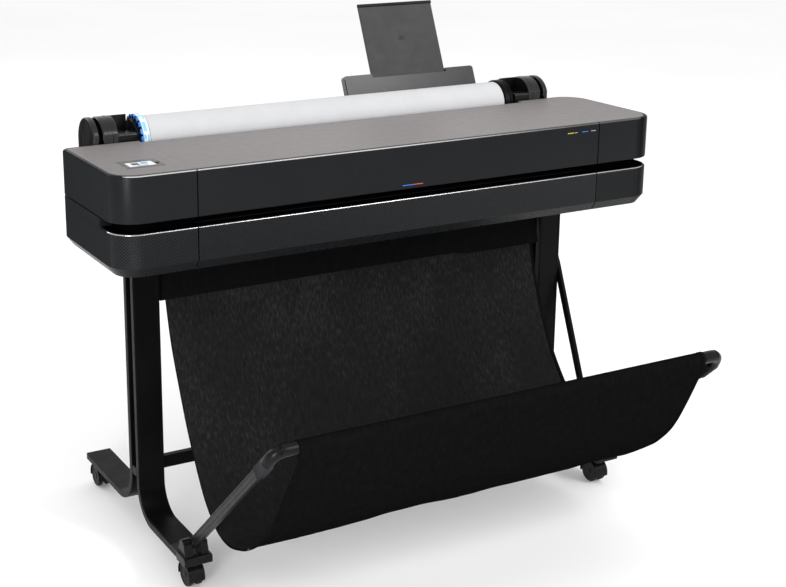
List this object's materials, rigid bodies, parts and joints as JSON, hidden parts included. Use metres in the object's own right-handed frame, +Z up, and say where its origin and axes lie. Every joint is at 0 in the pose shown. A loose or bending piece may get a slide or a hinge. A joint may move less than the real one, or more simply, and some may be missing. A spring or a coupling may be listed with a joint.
{
  "type": "large format plotter",
  "caption": "Wide roll-fed plotter on a wheeled stand, with a hinged lid, a front output slot, a rear paper roll, a reclined sheet tray and a fabric catch bin.",
  "frame": {"origin": "centre of the footprint, on the floor under the casters", "axes": "+X to the right seen from the front, +Y to the back, +Z up"},
  "size_m": [1.317, 0.9549, 1.0953],
  "materials": {
    "casing": "fine-grained matt black moulding",
    "lid": "satin warm grey paint",
    "black_plastic": "satin black moulding",
    "screen": "glossy touch glass",
    "zinc_steel": "zinc-plated sheet and rod",
    "leg_paint": "satin black powder coat",
    "rubber": "matt rubber",
    "paper": "smooth matt paper",
    "cardboard": "raw cardboard",
    "hub_blue": "blue moulding",
    "collar_white": "white moulding",
    "tray_grey": "matt dark grey moulding",
    "bin_fabric": "plain black woven fabric"
  },
  "bodies": {
    "root": {"base_chassis": "zinc_steel", "bin_fabric_back": "bin_fabric", "bin_rear_bar": "leg_paint", "bin_stay_rod": "leg_paint", "carriage_belt": "rubber", "carriage_motor": "zinc_steel", "carriage_rail": "zinc_steel", "cross_brace": "leg_paint", "ink_cartridge_black": "black_plastic", "ink_cartridge_cyan": "black_plastic", "ink_cartridge_magenta": "black_plastic", "ink_cartridge_yellow": "black_plastic", "left_bin_bracket": "black_plastic", "left_leg_front": "leg_paint", "left_leg_rear": "leg_paint", "left_lower_end_cover": "casing", "left_roll_holder": "black_plastic", "left_upper_end_cover": "casing", "lower_front_cover": "casing", "pinch_roller_bar": "black_plastic", "platen": "black_plastic", "power_inlet": "black_plastic", "rear_cover": "casing", "right_bin_bracket": "black_plastic", "right_leg_front": "leg_paint", "right_leg_rear": "leg_paint", "right_lower_end_cover": "casing", "right_roll_holder": "black_plastic", "right_upper_end_cover": "casing", "service_station": "black_plastic", "sheet_tray": "tray_grey", "touch_panel": "black_plastic", "touch_screen": "screen"},
    "lid": {"top_cover": "lid"},
    "ink_flap": {"ink_door": "casing"},
    "power_key": {"power_button": "black_plastic"},
    "print_carriage": {"carriage": "black_plastic"},
    "idler": {"idler_pulley": "zinc_steel"},
    "driver": {"drive_pulley": "zinc_steel"},
    "feed_shaft": {"feed_roller": "rubber"},
    "paper_supply": {"roll_spindle": "zinc_steel", "paper_core": "cardboard", "paper_roll": "paper", "left_spindle_hub": "hub_blue", "left_spindle_collar": "collar_white", "right_spindle_hub": "black_plastic"},
    "tray_extension": {"sheet_tray_extension": "tray_grey"},
    "bin_frame": {"left_bin_arm": "leg_paint", "right_bin_arm": "leg_paint", "bin_front_bar": "leg_paint", "bin_fabric_front": "bin_fabric"},
    "left_front_caster_swivel": {"left_front_caster_fork": "black_plastic"},
    "left_front_caster_roller": {"left_front_caster_wheel": "rubber"},
    "left_rear_caster_swivel": {"left_rear_caster_fork": "black_plastic"},
    "left_rear_caster_roller": {"left_rear_caster_wheel": "rubber"},
    "right_front_caster_swivel": {"right_front_caster_fork": "black_plastic"},
    "right_front_caster_roller": {"right_front_caster_wheel": "rubber"},
    "right_rear_caster_swivel": {"right_rear_caster_fork": "black_plastic"},
    "right_rear_caster_roller": {"right_rear_caster_wheel": "rubber"}
  },
  "joints": [
    {"name": "top_cover_hinge", "type": "hinge", "parent": "root", "child": "lid", "pos_m": [0, 0.2029, 0.87], "axis": [-1, 0, 0], "range_deg": [0, 75]},
    {"name": "ink_door_hinge", "type": "hinge", "parent": "root", "child": "ink_flap", "pos_m": [0.545, -0.0833, 0.6887], "axis": [1, 0, 0], "range_deg": [0, 85]},
    {"name": "power_button_press", "type": "slide", "parent": "root", "child": "power_key", "axis": [0, 0, -1], "range_m": [0, 0.001], "stiffness_N_per_m": 400, "springref_m": -0.0015},
    {"name": "carriage_slide", "type": "slide", "parent": "root", "child": "print_carriage", "axis": [-1, 0, 0], "range_m": [0, 1.04]},
    {"name": "drive_pulley_spin", "type": "hinge", "parent": "root", "child": "driver", "pos_m": [0.593, 0.1194, 0.826], "axis": [0, 1, 0], "range_deg": [0, 5960]},
    {"name": "idler_pulley_spin", "type": "hinge", "parent": "root", "child": "idler", "pos_m": [-0.593, 0.1194, 0.826], "axis": [0, 1, 0], "range_deg": [0, 5960]},
    {"name": "feed_roller_spin", "type": "hinge", "parent": "root", "child": "feed_shaft", "pos_m": [0, 0.1314, 0.744], "axis": [1, 0, 0], "continuous": true},
    {"name": "roll_spin", "type": "hinge", "parent": "root", "child": "paper_supply", "pos_m": [0, 0.2784, 0.864], "axis": [1, 0, 0], "continuous": true},
    {"name": "tray_extension_slide", "type": "slide", "parent": "root", "child": "tray_extension", "axis": [0, 0.3987, 0.9171], "range_m": [-0.1, 0]},
    {"name": "bin_frame_hinge", "type": "hinge", "parent": "root", "child": "bin_frame", "pos_m": [0, -0.1036, 0.1], "axis": [-1, 0, 0], "range_deg": [0, 48]},
    {"name": "left_front_caster_swivel_joint", "type": "hinge", "parent": "root", "child": "left_front_caster_swivel", "pos_m": [-0.523, -0.1016, 0.058], "axis": [0, 0, 1], "continuous": true},
    {"name": "left_front_caster_wheel_joint", "type": "hinge", "parent": "left_front_caster_swivel", "child": "left_front_caster_roller", "pos_m": [-0.523, -0.0876, 0.025], "axis": [1, 0, 0], "continuous": true},
    {"name": "left_rear_caster_swivel_joint", "type": "hinge", "parent": "root", "child": "left_rear_caster_swivel", "pos_m": [-0.523, 0.4304, 0.058], "axis": [0, 0, 1], "continuous": true},
    {"name": "left_rear_caster_wheel_joint", "type": "hinge", "parent": "left_rear_caster_swivel", "child": "left_rear_caster_roller", "pos_m": [-0.523, 0.4444, 0.025], "axis": [1, 0, 0], "continuous": true},
    {"name": "right_front_caster_swivel_joint", "type": "hinge", "parent": "root", "child": "right_front_caster_swivel", "pos_m": [0.523, -0.1016, 0.058], "axis": [0, 0, 1], "continuous": true},
    {"name": "right_front_caster_wheel_joint", "type": "hinge", "parent": "right_front_caster_swivel", "child": "right_front_caster_roller", "pos_m": [0.523, -0.0876, 0.025], "axis": [1, 0, 0], "continuous": true},
    {"name": "right_rear_caster_swivel_joint", "type": "hinge", "parent": "root", "child": "right_rear_caster_swivel", "pos_m": [0.523, 0.4304, 0.058], "axis": [0, 0, 1], "continuous": true},
    {"name": "right_rear_caster_wheel_joint", "type": "hinge", "parent": "right_rear_caster_swivel", "child": "right_rear_caster_roller", "pos_m": [0.523, 0.4444, 0.025], "axis": [1, 0, 0], "continuous": true}
  ],
  "couplings": [
    {"joint": "drive_pulley_spin", "follows": "carriage_slide", "rad_per_m": 100},
    {"joint": "idler_pulley_spin", "follows": "carriage_slide", "rad_per_m": 100}
  ]
}
